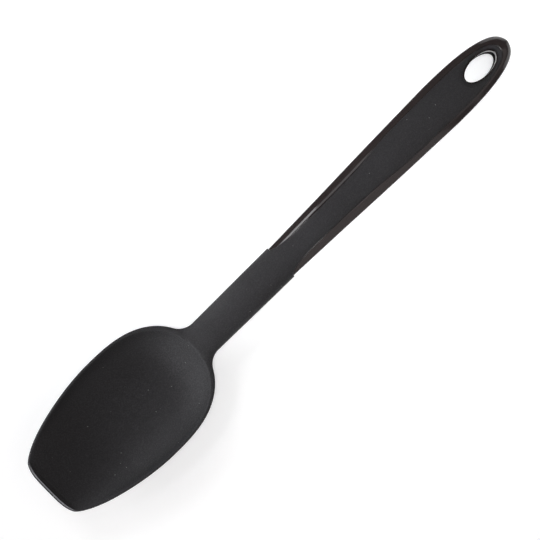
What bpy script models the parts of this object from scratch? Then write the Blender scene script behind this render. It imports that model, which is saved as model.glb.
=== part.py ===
"""Silicone serving spoon, lying on its back on a table.

A steel core stiffens the bowl and runs through the neck into the handle. A hard handle shell holds
its tail, and reaches into the neck with a tang. One silicone skin is moulded over the core and the
tang: it forms the bowl and the neck, and runs on without a break as the face let into the handle.

Metres, +Z up. +X runs from the bowl's tip to the handle's end. The origin is on the table, under
the middle of the spoon's box. Places along the spoon are measured from the bowl's tip.
"""

import math

import bmesh
import bpy
import numpy as np
from mathutils import Matrix, Vector

MM = 0.001

# Fit
CLEARANCE = 0.3 * MM

# Bowl in plan
BOWL_LENGTH = 95.2 * MM
BOWL_WIDTH = 55.9 * MM
BOWL_WIDEST_AT = 52.5 * MM
TIP_WIDTH = 29.0 * MM
TIP_CROWN = 2.0 * MM
TIP_CROWN_LENGTH = 20.0 * MM
RIM_WIDTH = 1.6 * MM
HOLLOW_BACK_MARGIN = 2.7 * MM
SHOULDER_RADIUS = 8.8 * MM

# Bowl from the side
TIP_HEIGHT = 12.9 * MM
TIP_THICKNESS = 1.8 * MM
RIM_HEIGHT = 17.2 * MM
BACK_RIM_HEIGHT = 18.0 * MM
BACK_RIM_MARGIN = 9.2 * MM
LIP_HEIGHT = 1.0 * MM
WALL = 3.2 * MM
TIP_WALL = 1.4 * MM
FLAT_START = 38.0 * MM
FLAT_LENGTH = 25.0 * MM
FLAT_CUT = 0.3 * MM

# Neck and sleeve, with lengths measured from the bowl's back
NECK_BLEND = 8.8 * MM
NECK_LENGTH = 51.3 * MM
NECK_WIDTH = 16.6 * MM
NECK_HEIGHT = 22.0 * MM
NECK_THICKNESS = 9.3 * MM
NECK_LEVEL_AT = 35.0 * MM
NECK_LEVEL_HEIGHT = 27.35 * MM
NECK_LEVEL_THICKNESS = 10.5 * MM
SLEEVE_WIDTH = 17.2 * MM
SLEEVE_HEIGHT = 27.8 * MM
SLEEVE_THICKNESS = 10.8 * MM
SLEEVE_STEP = 0.6 * MM

# Handle, with places measured from the sleeve's end
HANDLE_LENGTH = 143.5 * MM
HANDLE_WAIST = (26.0 * MM, 17.6 * MM)
HANDLE_MIDDLE = (58.0 * MM, 20.0 * MM)
HANDLE_WIDEST = (100.0 * MM, 22.6 * MM)
HANDLE_CREST = (18.0 * MM, 22.5 * MM)
HANDLE_SLOPE_START = (52.0 * MM, 18.6 * MM)
HANDLE_SLOPE_END = (102.0 * MM, 11.0 * MM)
HANDLE_THICKNESS = 11.2 * MM
END_THICKNESS = 10.4 * MM
END_HEIGHT = 3.7 * MM
END_ROUNDING = 11.0 * MM
REST_FROM_END = 9.0 * MM

# Face let into the handle
FACE_THICKNESS = 2.2 * MM
FACE_PROUD = 0.15 * MM
FACE_START_WIDTH = 14.6 * MM
FACE_SWEEP = (4.5 * MM, 11.6 * MM)
FACE_WAIST = (14.0 * MM, 9.9 * MM)
FACE_MIDDLE = (48.0 * MM, 11.2 * MM)
FACE_FULL = (75.0 * MM, 15.5 * MM)
FACE_WIDEST = (104.0 * MM, 16.2 * MM)
FACE_END_MARGIN = 5.6 * MM
FACE_BLEND = 12.0 * MM

# Hang hole, with a collar of the shell that lines it and a lip where the face dips to the collar
HOLE_LENGTH = 18.8 * MM
HOLE_WIDTH = 9.3 * MM
HOLE_FROM_END = 17.9 * MM
HOLE_LIP = 0.6 * MM
HOLE_COLLAR = 0.6 * MM

# Tang of the handle shell
TANG_LENGTH = 21.0 * MM
TANG_WIDTH = 10.4 * MM
TANG_THICKNESS = 4.2 * MM

# Steel core
CORE_THICKNESS = 1.0 * MM
CORE_MARGIN = 8.5 * MM
CORE_TIP_MARGIN = 18.0 * MM
CORE_STRIP_WIDTH = 7.0 * MM
CORE_STRIP_BLEND = 12.0 * MM
CORE_BEND = 3.0 * MM
CORE_TAIL = 62.0 * MM
CORE_HOLE_WIDTH = 7.0 * MM
CORE_HOLE_ROW = 9.5 * MM
CORE_HOLE_PITCH = 15.0 * MM
CORE_HOLE_START = 28.0 * MM
KEY_HOLE_WIDTH = 3.4 * MM
KEY_HOLE_START = 16.5 * MM
KEY_HOLE_PITCH = 22.0 * MM

# Form of the curves: powers of superellipses, and how full the bowl's section is
ROUNDNESS = 2.3
BOWL_FULLNESS = 0.92
FLOOR_POWER = 2.6
FRONT_POWERS = (1.76, 0.77)
BACK_POWERS = (2.85, 0.5)
END_POWERS = (2.75, 0.417)
TIP_CROWN_POWER = 4

# Fineness of the lofts
RING_PITCH = 4.2 * MM
END_PITCH = 2.0 * MM
END_ZONE = 12.0 * MM
ACROSS_COUNT = 20
FACE_ACROSS_COUNT = 10
CORE_ACROSS_COUNT = 8
TANG_RINGS = 7
HOLE_SIDES = 40
CORE_HOLE_SIDES = 16
OVERLAP = 3.0 * MM
CUTTER_FLARE = 0.5 * MM
CUTTER_STEEPNESS = 2.0
SLIVER = 0.02 * MM
WELD = 0.001 * MM
OUTLINE_SAMPLES = 2000

# Places that follow from the sizes
REACH = SLEEVE_HEIGHT + OVERLAP
FLAT_END = FLAT_START + FLAT_LENGTH
BACK_RIM_AT = BOWL_LENGTH - BACK_RIM_MARGIN
HOLLOW_END = BOWL_LENGTH - HOLLOW_BACK_MARGIN
NECK_START = BOWL_LENGTH + NECK_BLEND
NECK_LEVEL_START = BOWL_LENGTH + NECK_LEVEL_AT
SLEEVE_END = BOWL_LENGTH + NECK_LENGTH
LENGTH = SLEEVE_END + HANDLE_LENGTH
FACE_END = LENGTH - FACE_END_MARGIN


def smooth_line(*stations):
    """A function that runs smoothly through (place, value) stations and never overshoots them."""
    places = np.array([place for place, _ in stations])
    values = np.array([value for _, value in stations])
    steps = np.diff(places)
    rises = np.diff(values) / steps
    slopes = np.concatenate([rises[:1], np.zeros(len(rises) - 1), rises[-1:]])
    for i in range(1, len(rises)):
        if rises[i - 1] * rises[i] > 0:
            ahead = 2 * steps[i] + steps[i - 1]
            behind = steps[i] + 2 * steps[i - 1]
            slopes[i] = (ahead + behind) / (ahead / rises[i - 1] + behind / rises[i])

    def value_at(place):
        i = int(np.clip(np.searchsorted(places, place) - 1, 0, len(rises) - 1))
        share = float(np.clip((place - places[i]) / steps[i], 0, 1))
        rise = values[i + 1] - values[i]
        return float(
            values[i]
            + rise * share**2 * (3 - 2 * share)
            + steps[i] * share * (1 - share) * (slopes[i] * (1 - share) - slopes[i + 1] * share)
        )

    return value_at


def past_sleeve(station):
    """A handle station with its place measured from the bowl's tip, and half its width."""
    place, width = station
    return SLEEVE_END + place, width / 2


def eased(share):
    share = min(max(share, 0.0), 1.0)
    return share * share * (3 - 2 * share)


def dome(share):
    """Height of a superellipse's quarter, from 1 at its middle to 0 at its edge."""
    return max(1 - abs(share) ** ROUNDNESS, 0.0) ** (1 / ROUNDNESS)


def dish(share, fullness):
    """Height of a bowl's section, from 0 at its middle to 1 at its edge. Fullness 1 ends upright."""
    return (1 - dome(fullness * share)) / (1 - dome(fullness))


# Plan outlines


def quarter(share, powers):
    """A rounded fall from 1 to 0 as the share goes from 0 to 1."""
    inner, outer = powers
    return max(1 - min(max(share, 0.0), 1.0) ** inner, 0.0) ** outer


def bowl_outline(place, front_inset=0.0, side_inset=0.0, back_inset=0.0):
    """Half the bowl's width, moved inward by the insets, and without the neck."""
    half_width = BOWL_WIDTH / 2 - side_inset
    half_tip = TIP_WIDTH / 2 - side_inset
    if place < BOWL_WIDEST_AT:
        share = (BOWL_WIDEST_AT - place) / (BOWL_WIDEST_AT - front_inset)
        return half_tip + (half_width - half_tip) * quarter(share, FRONT_POWERS)
    share = (place - BOWL_WIDEST_AT) / (BOWL_LENGTH - back_inset - BOWL_WIDEST_AT)
    return half_width * quarter(share, BACK_POWERS)


def shoulder_arc():
    """(centre, tangent place) of the arc that rounds the corner between the bowl and the neck."""
    places = np.linspace(BOWL_WIDEST_AT, BOWL_LENGTH, OUTLINE_SAMPLES)
    widths = np.array([bowl_outline(place) for place in places])
    height = NECK_WIDTH / 2 + SHOULDER_RADIUS
    near = BOWL_WIDEST_AT
    far = BOWL_LENGTH + SHOULDER_RADIUS
    for _ in range(40):
        centre = (near + far) / 2
        gaps = np.hypot(places - centre, widths - height)
        if gaps.min() < SHOULDER_RADIUS:
            near = centre
        else:
            far = centre
    return far, float(places[gaps.argmin()])


SHOULDER_CENTRE, SHOULDER_TANGENT = shoulder_arc()
neck_half = smooth_line((SHOULDER_CENTRE, NECK_WIDTH / 2), (SLEEVE_END, SLEEVE_WIDTH / 2))
handle_side = smooth_line(
    (SLEEVE_END, SLEEVE_WIDTH / 2 - SLEEVE_STEP),
    past_sleeve(HANDLE_WAIST),
    past_sleeve(HANDLE_MIDDLE),
    past_sleeve(HANDLE_WIDEST),
)
face_side = smooth_line(
    (SLEEVE_END, FACE_START_WIDTH / 2),
    past_sleeve(FACE_SWEEP),
    past_sleeve(FACE_WAIST),
    past_sleeve(FACE_MIDDLE),
    past_sleeve(FACE_FULL),
    past_sleeve(FACE_WIDEST),
)


def head_half(place):
    """Half the width of the bowl and neck."""
    if place <= SHOULDER_TANGENT:
        return bowl_outline(place)
    if place < SHOULDER_CENTRE:
        across = SHOULDER_CENTRE - place
        return NECK_WIDTH / 2 + SHOULDER_RADIUS - math.sqrt(SHOULDER_RADIUS**2 - across**2)
    return neck_half(place)


def end_cap(place, start, end):
    """Share of the width that is left in a round end."""
    return quarter((place - start) / (end - start), END_POWERS)


def handle_half(place):
    """Half the handle's width, down to less than the weld at its end, which becomes one point."""
    cap = end_cap(place, SLEEVE_END + HANDLE_WIDEST[0], LENGTH)
    return max(handle_side(place) * cap, WELD / 4)


def face_half(place):
    return face_side(place) * end_cap(place, SLEEVE_END + FACE_WIDEST[0], FACE_END)


# Side view


underside = smooth_line(
    (0.0, TIP_HEIGHT - TIP_THICKNESS),
    (FLAT_START, -FLAT_CUT),
    (FLAT_END, -FLAT_CUT),
    (NECK_START, NECK_HEIGHT - NECK_THICKNESS),
    (NECK_LEVEL_START, NECK_LEVEL_HEIGHT - NECK_LEVEL_THICKNESS),
    (SLEEVE_END, SLEEVE_HEIGHT - SLEEVE_THICKNESS),
)
crown = smooth_line(
    (0.0, TIP_HEIGHT),
    (BOWL_WIDEST_AT, RIM_HEIGHT),
    (BACK_RIM_AT, BACK_RIM_HEIGHT),
    (NECK_START, NECK_HEIGHT),
    (NECK_LEVEL_START, NECK_LEVEL_HEIGHT),
    (SLEEVE_END, SLEEVE_HEIGHT),
)
side_line = smooth_line(
    (0.0, TIP_HEIGHT - TIP_THICKNESS / 2),
    (BOWL_WIDEST_AT, RIM_HEIGHT - LIP_HEIGHT),
    (BACK_RIM_AT, BACK_RIM_HEIGHT - LIP_HEIGHT),
    (NECK_START, NECK_HEIGHT - NECK_THICKNESS / 2),
    (NECK_LEVEL_START, NECK_LEVEL_HEIGHT - NECK_LEVEL_THICKNESS / 2),
    (SLEEVE_END, SLEEVE_HEIGHT - SLEEVE_THICKNESS / 2),
)
fullness = smooth_line(
    (0.0, BOWL_FULLNESS), (BACK_RIM_AT, BOWL_FULLNESS), (NECK_START, 1.0), (SLEEVE_END, 1.0)
)
handle_line = smooth_line(
    (SLEEVE_END, SLEEVE_HEIGHT - SLEEVE_THICKNESS / 2),
    (SLEEVE_END + HANDLE_CREST[0], HANDLE_CREST[1]),
    (SLEEVE_END + HANDLE_SLOPE_START[0], HANDLE_SLOPE_START[1]),
    (SLEEVE_END + HANDLE_SLOPE_END[0], HANDLE_SLOPE_END[1]),
    (LENGTH - REST_FROM_END, END_THICKNESS / 2 - FLAT_CUT),
    (LENGTH, END_HEIGHT),
)
handle_depth = smooth_line(
    (SLEEVE_END, SLEEVE_THICKNESS - 2 * SLEEVE_STEP),
    (SLEEVE_END + HANDLE_WIDEST[0], HANDLE_THICKNESS),
    (LENGTH, END_THICKNESS),
)
floor_wall = smooth_line(
    (0.0, TIP_WALL), (FLAT_START, WALL + FLAT_CUT), (FLAT_END, WALL + FLAT_CUT)
)


def head_top(place, across):
    """Height of the head's upper surface, before the bowl is hollowed."""
    side = side_line(place)
    return side + (crown(place) - side) * dome(across / head_half(place))


def head_bottom(place, across):
    low = underside(place)
    share = min(abs(across) / head_half(place), 1.0)
    return low + (side_line(place) - low) * dish(share, fullness(place))


def hollow_half(place):
    return bowl_outline(place, RIM_WIDTH, RIM_WIDTH, HOLLOW_BACK_MARGIN)


def hollow_rim(place):
    return head_top(place, hollow_half(place))


def hollow_floor(place):
    """Height of the hollow along its middle: a wall over the underside, then the back's rise."""
    if place < FLAT_END:
        return underside(place) + floor_wall(place)
    share = (place - FLAT_END) / (HOLLOW_END - FLAT_END)
    return WALL + (crown(HOLLOW_END) - WALL) * share**FLOOR_POWER


def hollow_bottom(place, across):
    low = hollow_floor(place)
    share = min(abs(across) / hollow_half(place), 1.0)
    return low + (hollow_rim(place) - low) * dish(share, BOWL_FULLNESS)


def handle_half_depth(place):
    return handle_depth(place) / 2 * end_cap(place, LENGTH - END_ROUNDING, LENGTH)


def handle_top(place, across):
    return handle_line(place) + handle_half_depth(place) * dome(across / handle_half(place))


def middle_line(place):
    """Height of the middle of the neck and handle, where the core and the tang run."""
    if place < SLEEVE_END:
        return (underside(place) + crown(place)) / 2
    return handle_line(place)


# Scene and meshes


def clear_scene():
    for obj in list(bpy.data.objects):
        bpy.data.objects.remove(obj, do_unlink=True)


def new_collection(name):
    collection = bpy.data.collections.new(name)
    bpy.context.scene.collection.children.link(collection)
    return collection


def new_material(name, colour, roughness, metallic=0.0):
    material = bpy.data.materials.new(name)
    material.use_nodes = True
    shader = material.node_tree.nodes["Principled BSDF"]
    shader.inputs["Base Color"].default_value = (*colour, 1.0)
    shader.inputs["Roughness"].default_value = roughness
    shader.inputs["Metallic"].default_value = metallic
    material.diffuse_color = (*colour, 1.0)
    return material


def object_from(bm, name, collection):
    mesh = bpy.data.meshes.new(name)
    bm.to_mesh(mesh)
    bm.free()
    obj = bpy.data.objects.new(name, mesh)
    collection.objects.link(obj)
    return obj


def finish_part(obj, material):
    obj.data.materials.append(material)
    obj.data.shade_smooth()
    obj.data.set_sharp_from_angle(angle=math.radians(35))
    return obj


def finish_cutter(obj):
    obj.hide_render = True
    obj.display_type = "WIRE"
    return obj


def boolean(obj, other, operation="DIFFERENCE"):
    modifier = obj.modifiers.new(f"{operation.title()} {other.name}", "BOOLEAN")
    modifier.operation = operation
    modifier.solver = "EXACT"
    modifier.object = other


def even_places(width_at, start, end, pitch=RING_PITCH):
    """Places from start to end, evenly spaced along the outline that width_at draws."""
    places = np.linspace(start, end, OUTLINE_SAMPLES)
    widths = np.array([width_at(place) for place in places])
    travel = np.concatenate([[0], np.cumsum(np.hypot(np.diff(places), np.diff(widths)))])
    count = max(round(travel[-1] / pitch), 2)
    return [float(place) for place in np.interp(np.linspace(0, travel[-1], count + 1), travel, places)]


def places_to_tip(width_at, start, end):
    """Even places, closer together over the round end."""
    turn = end - END_ZONE
    return even_places(width_at, start, turn)[:-1] + even_places(width_at, turn, end, END_PITCH)


def shares_across(count):
    """Shares of the half width from -1 to 1, closer together towards the edges."""
    return [math.sin(math.pi * (i / count - 0.5)) for i in range(count + 1)]


def loft(name, collection, rings):
    """A closed mesh through rings. Each ring is (upper points, lower points), both from -Y to +Y."""
    bm = bmesh.new()
    upper = [[bm.verts.new(point) for point in ring[0]] for ring in rings]
    lower = [[bm.verts.new(point) for point in ring[1]] for ring in rings]
    across = len(rings[0][0])
    for k in range(len(rings) - 1):
        for i in range(across - 1):
            for row in (upper, lower):
                bm.faces.new((row[k][i], row[k][i + 1], row[k + 1][i + 1], row[k + 1][i]))
        for i in (0, across - 1):
            bm.faces.new((upper[k][i], upper[k + 1][i], lower[k + 1][i], lower[k][i]))
    for k in (0, len(rings) - 1):
        for i in range(across - 1):
            bm.faces.new((upper[k][i], upper[k][i + 1], lower[k][i + 1], lower[k][i]))
    bmesh.ops.remove_doubles(bm, verts=bm.verts, dist=WELD)
    bmesh.ops.recalc_face_normals(bm, faces=bm.faces)
    return object_from(bm, name, collection)


def spoon_point(place, across, height):
    """World point of a place along the spoon, a distance across it and a height over the table."""
    return Vector((place - LENGTH / 2, across, height))


def section(place, half, top, bottom, count, shift=None):
    """One ring of a loft, from the heights that top and bottom give at each distance across."""
    upper = []
    lower = []
    for share in shares_across(count):
        along = place + (shift(place, share) if shift else 0.0)
        upper.append(spoon_point(along, share * half, top(place, share * half)))
        lower.append(spoon_point(along, share * half, bottom(place, share * half)))
    return upper, lower


def tip_shift(place, share):
    """The bowl's sections bow forward near the tip, so that its edge is gently crowned."""
    fade = max(1 - place / TIP_CROWN_LENGTH, 0.0)
    return TIP_CROWN * fade**2 * share**TIP_CROWN_POWER


# Silicone skin


def add_head(collection):
    places = even_places(head_half, 0.0, END_ZONE, END_PITCH)[:-1]
    places += even_places(head_half, END_ZONE, SLEEVE_END)
    rings = [
        section(place, head_half(place), head_top, head_bottom, ACROSS_COUNT, tip_shift)
        for place in places
    ]
    return loft("silicone_skin", collection, rings)


def add_hollow_cutter(collection):
    """The bowl's inside. Its walls run on past the rim at their own slope, then straight up."""
    rings = []
    for place in places_to_tip(hollow_half, RIM_WIDTH, HOLLOW_END - SLIVER):
        half = hollow_half(place)
        upper, lower = section(
            place, half, lambda *_: REACH, hollow_bottom, ACROSS_COUNT, tip_shift
        )
        flare = min(CUTTER_FLARE, half / 3)
        for side, edge in ((-1, 0), (1, -1)):
            lower[edge] = lower[edge] + Vector((0, side * flare, CUTTER_STEEPNESS * flare))
            upper[edge] = upper[edge] + Vector((0, side * flare, 0))
        rings.append((upper, lower))
    return finish_cutter(loft("hollow_cutter", collection, rings))


def face_top(place, across):
    """The face's surface: the handle's own crown, and a little proud where it leaves the sleeve."""
    leaving = 1 - eased((place - SLEEVE_END) / FACE_BLEND)
    return handle_top(place, across) + FACE_PROUD + (SLEEVE_STEP - FACE_PROUD) * leaving


def face_floor(place, across):
    return handle_top(place, across) - FACE_THICKNESS


def add_face(collection):
    """The face's strip. Its first ring lies inside the sleeve, and its last closes at its tip."""
    rings = []
    first = SLEEVE_END - OVERLAP
    for place in [first] + places_to_tip(face_half, SLEEVE_END, FACE_END):
        along = max(place, SLEEVE_END)
        ring = section(along, face_half(along), face_top, face_floor, FACE_ACROSS_COUNT)
        slide = Vector((place - along, 0, 0))
        rings.append(tuple([point + slide for point in side] for side in ring))
    return finish_cutter(loft("face_strip", collection, rings))


# Handle shell


def handle_bottom(place, across):
    return handle_line(place) - handle_half_depth(place) * dome(across / handle_half(place))


def add_shell(collection):
    start = SLEEVE_END + CLEARANCE
    rings = []
    for place in places_to_tip(handle_half, start, LENGTH):
        rings.append(section(place, handle_half(place), handle_top, handle_bottom, ACROSS_COUNT))
    return loft("handle_shell", collection, rings)


def add_pocket_cutter(collection):
    """The pocket that holds the face, open towards the sleeve."""
    first = SLEEVE_END - CLEARANCE
    last = FACE_END + CLEARANCE
    rings = []
    for place in [first] + places_to_tip(face_half, SLEEVE_END, FACE_END) + [last]:
        along = min(max(place, SLEEVE_END), FACE_END)
        half = face_half(along) + CLEARANCE
        ring = section(
            along,
            half,
            lambda *_: REACH,
            lambda *at: face_floor(*at) - CLEARANCE,
            FACE_ACROSS_COUNT,
        )
        slide = Vector((place - along, 0, 0))
        rings.append(tuple([point + slide for point in side] for side in ring))
    return finish_cutter(loft("pocket_cutter", collection, rings))


def add_tang(name, collection, growth):
    """The tang that reaches into the sleeve. Growth gives the same form with a clearance."""
    start = SLEEVE_END - TANG_LENGTH - growth
    end = SLEEVE_END + OVERLAP
    half = TANG_WIDTH / 2 + growth
    depth = TANG_THICKNESS / 2 + growth
    rings = []
    for place in np.linspace(start, end, TANG_RINGS):
        rings.append(
            section(
                float(place),
                half,
                lambda at, across: middle_line(at) + depth * dome(across / half),
                lambda at, across: middle_line(at) - depth * dome(across / half),
                FACE_ACROSS_COUNT,
            )
        )
    return finish_cutter(loft(name, collection, rings))


# Hang hole


def hole_frame():
    """The hole's middle on the handle's crown. The axis is upright, and levels follow the crown."""
    place = LENGTH - HOLE_FROM_END
    reach = HOLE_LENGTH / 2
    rise = handle_top(place + reach, 0.0) - handle_top(place - reach, 0.0)
    slope = Matrix.Identity(4)
    slope[2][0] = rise / (2 * reach)
    return Matrix.Translation(spoon_point(place, 0.0, handle_top(place, 0.0))) @ slope


def oval(length, width, height):
    """Points of the hole's outline at a height along its axis."""
    points = []
    for i in range(HOLE_SIDES):
        angle = 2 * math.pi * i / HOLE_SIDES
        points.append(
            Vector((length / 2 * math.cos(angle), width / 2 * math.sin(angle), height))
        )
    return points


def add_hole_form(name, collection, levels):
    """An oval form along the hole's axis. Levels are (growth of the hole's width, height)."""
    bm = bmesh.new()
    rings = [
        [bm.verts.new(point) for point in oval(HOLE_LENGTH + grow, HOLE_WIDTH + grow, height)]
        for grow, height in levels
    ]
    for below, above in zip(rings, rings[1:]):
        for i in range(HOLE_SIDES):
            j = (i + 1) % HOLE_SIDES
            bm.faces.new((below[i], below[j], above[j], above[i]))
    bm.faces.new(rings[0][::-1])
    bm.faces.new(rings[-1])
    bmesh.ops.recalc_face_normals(bm, faces=bm.faces)
    bm.transform(hole_frame())
    return finish_cutter(object_from(bm, name, collection))


def add_shell_hole(collection):
    return add_hole_form("shell_hole", collection, [(0.0, -REACH), (0.0, REACH)])


def add_collar_form(collection):
    """The collar that the pocket leaves standing round the hole, up to the foot of the lip."""
    growth = 2 * HOLE_COLLAR
    return add_hole_form("collar_form", collection, [(growth, -REACH), (growth, -HOLE_LIP)])


def add_face_hole(collection):
    """The face's hole: clear of the collar, and sloping up and out from its top."""
    growth = 2 * (HOLE_COLLAR + CLEARANCE)
    wide = growth + 4 * HOLE_LIP
    levels = [(growth, -REACH), (growth, -HOLE_LIP), (wide, HOLE_LIP), (wide, REACH)]
    return add_hole_form("face_hole", collection, levels)


# Steel core


def core_half(place, growth):
    """Half the core's width: a paddle that follows the bowl's outline, then a strip."""
    strip = CORE_STRIP_WIDTH / 2
    paddle = bowl_outline(place, CORE_TIP_MARGIN, CORE_MARGIN, CORE_MARGIN)
    share = eased((place - (BOWL_LENGTH - CORE_MARGIN - CORE_STRIP_BLEND)) / CORE_STRIP_BLEND)
    half = max(paddle, strip) * (1 - share) + strip * share
    return half + growth


def core_height(place, across):
    """The core's middle surface: midway through the bowl's wall, then along the neck's middle."""
    heights = []
    for near in (place - CORE_BEND, place, place + CORE_BEND):
        if near < HOLLOW_END:
            heights.append((head_bottom(near, across) + hollow_bottom(near, across)) / 2)
        else:
            heights.append(middle_line(near))
    return sum(heights) / len(heights)


def add_core(name, collection, growth):
    start = CORE_TIP_MARGIN - growth
    end = SLEEVE_END + CORE_TAIL + growth
    depth = CORE_THICKNESS / 2 + growth
    rings = []
    for place in even_places(lambda at: core_half(at, 0.0), start, end):
        rings.append(
            section(
                place,
                core_half(place, growth),
                lambda at, across: core_height(at, across) + depth,
                lambda at, across: core_height(at, across) - depth,
                CORE_ACROSS_COUNT,
            )
        )
    return loft(name, collection, rings)


def core_holes():
    """(place, across, diameter) of the holes that the silicone and the shell lock into."""
    holes = []
    for row in range(4):
        place = CORE_HOLE_START + row * CORE_HOLE_PITCH
        side = CORE_HOLE_ROW if row in (1, 2) else 0.0
        holes += [(place, across, CORE_HOLE_WIDTH) for across in sorted({-side, side})]
    for row in range(2):
        place = SLEEVE_END + KEY_HOLE_START + row * KEY_HOLE_PITCH
        holes.append((place, 0.0, KEY_HOLE_WIDTH))
    return holes


def add_core_hole_cutters(name, collection, growth):
    """Upright pins where the core's holes are, widened by the growth, or thinned where it is below 0."""
    bm = bmesh.new()
    for place, across, diameter in core_holes():
        bmesh.ops.create_cone(
            bm,
            cap_ends=True,
            segments=CORE_HOLE_SIDES,
            radius1=diameter / 2 + growth,
            radius2=diameter / 2 + growth,
            depth=2 * REACH,
            matrix=Matrix.Translation(spoon_point(place, across, 0.0)),
        )
    return finish_cutter(object_from(bm, name, collection))


def add_table_cutter(collection):
    """Everything under the table's surface, so that the spoon rests on two small flats."""
    bm = bmesh.new()
    bmesh.ops.create_cube(bm, size=1.0)
    bmesh.ops.scale(bm, vec=(2 * LENGTH, 4 * BOWL_WIDTH, REACH), verts=bm.verts)
    bmesh.ops.translate(bm, vec=(0, 0, -REACH / 2), verts=bm.verts)
    return finish_cutter(object_from(bm, "table_cutter", collection))


def main():
    clear_scene()
    parts = new_collection("silicone_serving_spoon")
    cutters = new_collection("cutters")
    silicone = new_material("black_silicone", (0.035, 0.035, 0.037), 0.6)
    plastic = new_material("gloss_black_plastic", (0.012, 0.011, 0.011), 0.12)
    steel = new_material("pressed_steel", (0.55, 0.55, 0.56), 0.35, 1.0)

    table = add_table_cutter(cutters)
    core_cavity = finish_cutter(add_core("core_cavity", cutters, CLEARANCE))
    boolean(core_cavity, add_core_hole_cutters("plug_pins", cutters, -CLEARANCE))

    core = add_core("steel_core", parts, 0.0)
    boolean(core, add_core_hole_cutters("hole_pins", cutters, 0.0))
    finish_part(core, steel)

    shell = add_shell(parts)
    boolean(shell, add_tang("tang_form", cutters, 0.0), "UNION")
    pocket = add_pocket_cutter(cutters)
    boolean(pocket, add_collar_form(cutters))
    boolean(shell, pocket)
    boolean(shell, core_cavity)
    boolean(shell, add_shell_hole(cutters))
    boolean(shell, table)
    finish_part(shell, plastic)

    skin = add_head(parts)
    boolean(skin, add_face(cutters), "UNION")
    boolean(skin, add_hollow_cutter(cutters))
    boolean(skin, add_tang("tang_cavity", cutters, CLEARANCE))
    boolean(skin, core_cavity)
    boolean(skin, add_face_hole(cutters))
    boolean(skin, table)
    finish_part(skin, silicone)


main()
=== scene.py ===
"""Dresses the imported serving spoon: fine surfaces, materials, table, light and camera.

Metres, +Z up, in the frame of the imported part. Places along the spoon are measured from the
bowl's tip. The sizes and curves of the skin and the shell are those of the part's own source, but
for the bowl's rim, which is narrower here. The edges and joints are the scene's own.
"""

import math

import bmesh
import bpy
import numpy as np
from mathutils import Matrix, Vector


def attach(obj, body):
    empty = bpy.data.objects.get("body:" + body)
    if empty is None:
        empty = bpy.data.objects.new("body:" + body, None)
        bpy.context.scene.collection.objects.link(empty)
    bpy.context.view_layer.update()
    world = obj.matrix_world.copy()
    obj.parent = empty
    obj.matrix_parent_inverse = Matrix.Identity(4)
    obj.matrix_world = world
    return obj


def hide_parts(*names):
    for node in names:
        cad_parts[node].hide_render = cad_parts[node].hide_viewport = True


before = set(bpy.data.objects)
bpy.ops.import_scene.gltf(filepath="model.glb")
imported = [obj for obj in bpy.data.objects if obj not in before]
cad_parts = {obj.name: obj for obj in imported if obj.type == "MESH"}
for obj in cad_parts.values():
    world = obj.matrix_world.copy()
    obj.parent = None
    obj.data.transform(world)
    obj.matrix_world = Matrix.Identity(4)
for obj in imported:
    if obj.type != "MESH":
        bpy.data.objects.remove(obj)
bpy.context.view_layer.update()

MM = 0.001

# Bowl in plan
BOWL_LENGTH = 95.2 * MM
BOWL_WIDTH = 55.9 * MM
BOWL_WIDEST_AT = 52.5 * MM
TIP_WIDTH = 29.0 * MM
TIP_CROWN = 2.0 * MM
TIP_CROWN_LENGTH = 20.0 * MM
RIM_WIDTH = 1.1 * MM
HOLLOW_BACK_MARGIN = 2.7 * MM
SHOULDER_RADIUS = 8.8 * MM

# Bowl from the side
TIP_HEIGHT = 12.9 * MM
TIP_THICKNESS = 1.8 * MM
RIM_HEIGHT = 17.2 * MM
BACK_RIM_HEIGHT = 18.0 * MM
BACK_RIM_MARGIN = 9.2 * MM
LIP_HEIGHT = 1.0 * MM
WALL = 3.2 * MM
TIP_WALL = 1.4 * MM
FLAT_START = 38.0 * MM
FLAT_LENGTH = 25.0 * MM
FLAT_CUT = 0.3 * MM

# Neck and sleeve, with lengths measured from the bowl's back
NECK_BLEND = 8.8 * MM
NECK_LENGTH = 51.3 * MM
NECK_WIDTH = 16.6 * MM
NECK_HEIGHT = 22.0 * MM
NECK_THICKNESS = 9.3 * MM
NECK_LEVEL_AT = 35.0 * MM
NECK_LEVEL_HEIGHT = 27.35 * MM
NECK_LEVEL_THICKNESS = 10.5 * MM
SLEEVE_WIDTH = 17.2 * MM
SLEEVE_HEIGHT = 27.8 * MM
SLEEVE_THICKNESS = 10.8 * MM
SLEEVE_STEP = 0.6 * MM

# Handle, with places measured from the sleeve's end
HANDLE_LENGTH = 143.5 * MM
HANDLE_WAIST = (26.0 * MM, 17.6 * MM)
HANDLE_MIDDLE = (58.0 * MM, 20.0 * MM)
HANDLE_WIDEST = (100.0 * MM, 22.6 * MM)
HANDLE_CREST = (18.0 * MM, 22.5 * MM)
HANDLE_SLOPE_START = (52.0 * MM, 18.6 * MM)
HANDLE_SLOPE_END = (102.0 * MM, 11.0 * MM)
HANDLE_THICKNESS = 11.2 * MM
END_THICKNESS = 10.4 * MM
END_HEIGHT = 3.7 * MM
END_ROUNDING = 11.0 * MM
REST_FROM_END = 9.0 * MM

# Face let into the handle
FACE_THICKNESS = 2.2 * MM
FACE_PROUD = 0.15 * MM
FACE_START_WIDTH = 14.6 * MM
FACE_SWEEP = (4.5 * MM, 11.6 * MM)
FACE_WAIST = (14.0 * MM, 9.9 * MM)
FACE_MIDDLE = (48.0 * MM, 11.2 * MM)
FACE_FULL = (75.0 * MM, 15.5 * MM)
FACE_WIDEST = (104.0 * MM, 16.2 * MM)
FACE_END_MARGIN = 5.6 * MM
FACE_BLEND = 12.0 * MM

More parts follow.
